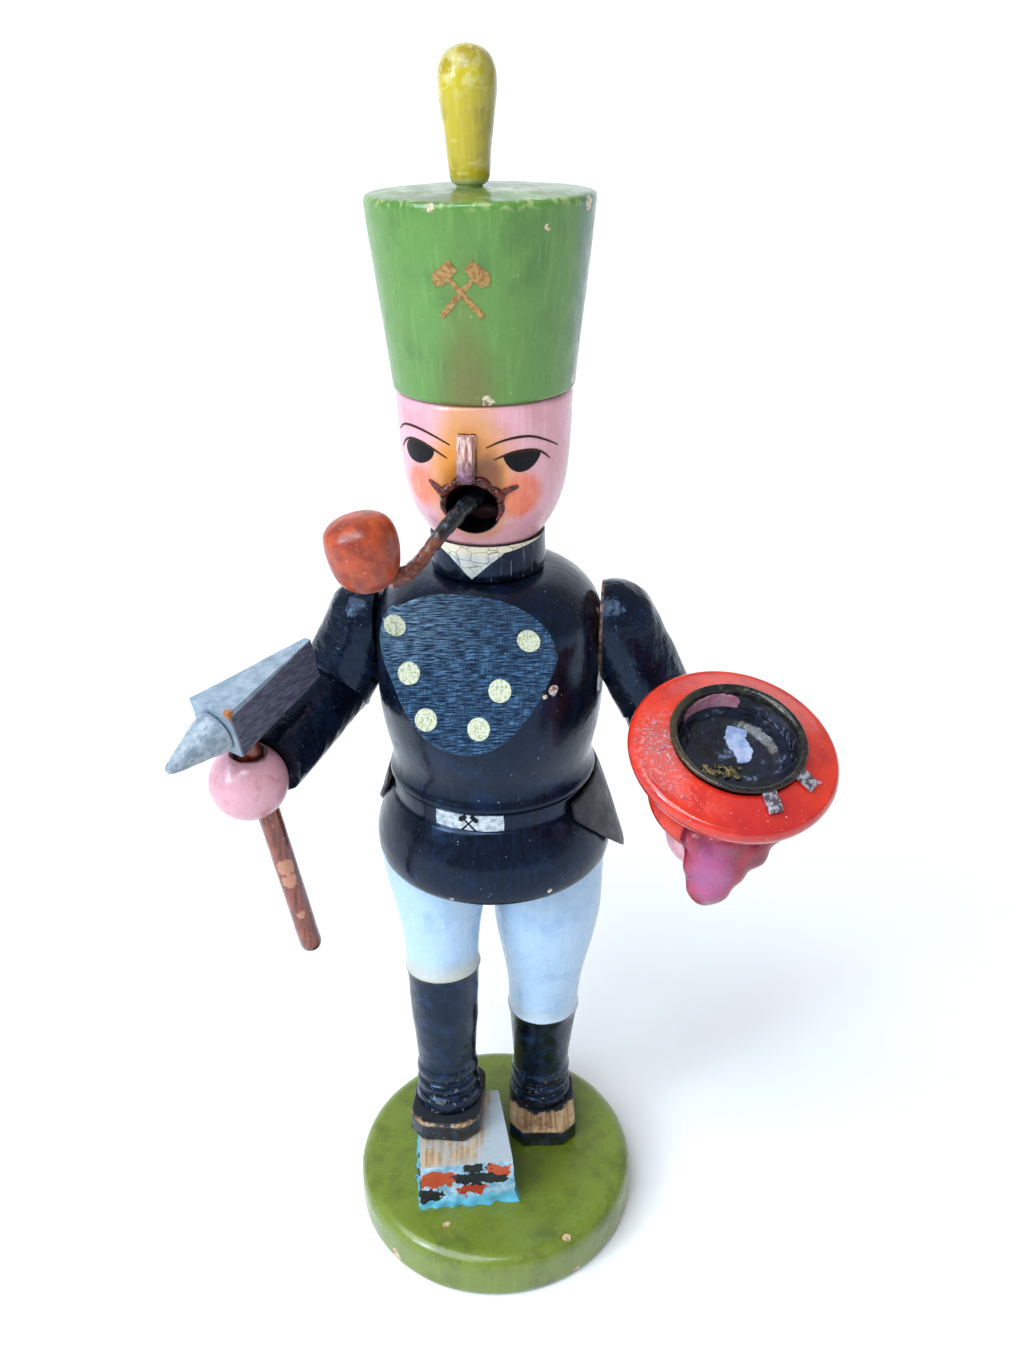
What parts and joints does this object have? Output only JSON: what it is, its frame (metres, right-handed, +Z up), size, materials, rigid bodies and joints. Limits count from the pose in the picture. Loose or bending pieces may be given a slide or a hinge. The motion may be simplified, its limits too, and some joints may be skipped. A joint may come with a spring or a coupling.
{
  "type": "incense smoker figure",
  "caption": "Turned wooden incense smoker figure of a miner in parade dress, with a lift-off hollow body, pipe, hammer and candle dish.",
  "frame": {"origin": "centre of the round base's underside, on the floor", "axes": "+Z up; the figure faces -Y, so its right hand is at -X"},
  "size_m": [0.1346, 0.0889, 0.2753],
  "materials": {
    "base_green": "satin paint",
    "ore_blue": "satin paint",
    "sole_wood": "bare wood with painted edge",
    "trouser_white": "gloss paint with black boots",
    "coat_black": "gloss paint",
    "buckle_silver": "silver paint",
    "back_leather": "smooth",
    "shirt_white": "satin paint",
    "skin_pink": "satin paint",
    "nose_wood": "whittled, thinly painted",
    "hat_green": "satin paint",
    "plume_yellow": "satin paint",
    "pipe_brown": "gloss stain",
    "mouthpiece_black": "charred",
    "hammer_grey": "satin paint",
    "handle_brown": "gloss stain",
    "dish_red": "gloss paint",
    "cup_metal": "tarnished",
    "wax_magenta": "waxy",
    "tin_plate": "dull"
  },
  "bodies": {
    "lower_body": {"base_disc": "base_green", "ore_block": "ore_blue", "right_sole": "sole_wood", "left_sole": "sole_wood", "right_leg": "trouser_white", "left_leg": "trouser_white", "hip_body": "coat_black", "belt_buckle": "buckle_silver", "back_leather": "back_leather", "plate_tack": "tin_plate"},
    "incense_plate": {"incense_plate": "tin_plate"},
    "upper_body": {"torso_shell": "coat_black", "collar_ring": "shirt_white", "head": "skin_pink", "nose_peg": "nose_wood", "hat": "hat_green", "plume": "plume_yellow", "right_upper_arm": "coat_black", "right_forearm": "coat_black", "left_upper_arm": "coat_black", "left_forearm": "coat_black", "right_hand": "skin_pink", "left_hand": "skin_pink", "candle_dish": "dish_red", "candle_cup": "cup_metal", "wax_run": "wax_magenta"},
    "pipe": {"pipe_bowl": "pipe_brown", "pipe_stem": "pipe_brown", "pipe_mouthpiece": "mouthpiece_black"},
    "hammer": {"hammer_block": "hammer_grey", "hammer_point": "hammer_grey", "hammer_handle": "handle_brown"}
  },
  "joints": [
    {"name": "body_turn", "type": "hinge", "parent": "lower_body", "child": "incense_plate", "pos_m": [0.0015, 0.015, 0.1298], "axis": [0, 0, 1], "continuous": true},
    {"name": "body_lift", "type": "slide", "parent": "incense_plate", "child": "upper_body", "axis": [0, 0, 1], "range_m": [0, 0.08]},
    {"name": "pipe_pull", "type": "slide", "parent": "upper_body", "child": "pipe", "axis": [-0.5699, -0.7349, -0.3676], "range_m": [0, 0.03]},
    {"name": "hammer_pull", "type": "slide", "parent": "upper_body", "child": "hammer", "axis": [-0.117, -0.148, 0.982], "range_m": [0, 0.065]}
  ]
}
